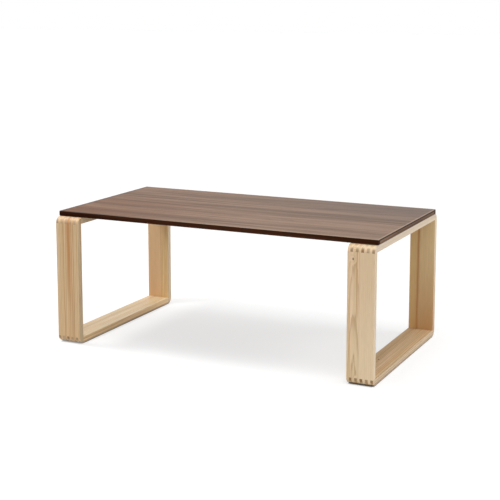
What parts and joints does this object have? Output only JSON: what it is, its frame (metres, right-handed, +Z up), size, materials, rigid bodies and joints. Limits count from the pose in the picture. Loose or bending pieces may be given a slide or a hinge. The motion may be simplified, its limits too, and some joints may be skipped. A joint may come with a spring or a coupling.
{
  "type": "coffee table",
  "caption": "Low coffee table with a flat veneered rectangular top carried at its ends by closed loops of flat softwood boards with rounded finger-jointed corners.",
  "frame": {"origin": "on the floor, below the middle of the top", "axes": "+X along the table's length, +Y towards its rear, +Z up; the front faces -Y"},
  "size_m": [1, 0.55, 0.3956],
  "materials": {
    "walnut_face": "satin",
    "walnut_edge": "satin",
    "panel_core": "matte",
    "softwood": "satin",
    "felt": "matte",
    "zinc_steel": "satin",
    "brass": "satin"
  },
  "bodies": {
    "root": {"top_face_veneer": "walnut_face", "top_core": "panel_core", "top_back_veneer": "walnut_face", "front_lipping": "walnut_edge", "rear_lipping": "walnut_edge", "left_lipping": "walnut_edge", "right_lipping": "walnut_edge", "left_front_leg": "softwood", "left_rear_leg": "softwood", "left_top_rail": "softwood", "left_bottom_rail": "softwood", "right_front_leg": "softwood", "right_rear_leg": "softwood", "right_top_rail": "softwood", "right_bottom_rail": "softwood", "left_front_pad": "felt", "left_rear_pad": "felt", "right_front_pad": "felt", "right_rear_pad": "felt", "left_bolt_1": "zinc_steel", "left_bolt_2": "zinc_steel", "left_bolt_3": "zinc_steel", "right_bolt_1": "zinc_steel", "right_bolt_2": "zinc_steel", "right_bolt_3": "zinc_steel", "left_washer_1": "zinc_steel", "left_washer_2": "zinc_steel", "left_washer_3": "zinc_steel", "right_washer_1": "zinc_steel", "right_washer_2": "zinc_steel", "right_washer_3": "zinc_steel", "left_insert_1": "brass", "left_insert_2": "brass", "left_insert_3": "brass", "right_insert_1": "brass", "right_insert_2": "brass", "right_insert_3": "brass"}
  },
  "joints": []
}
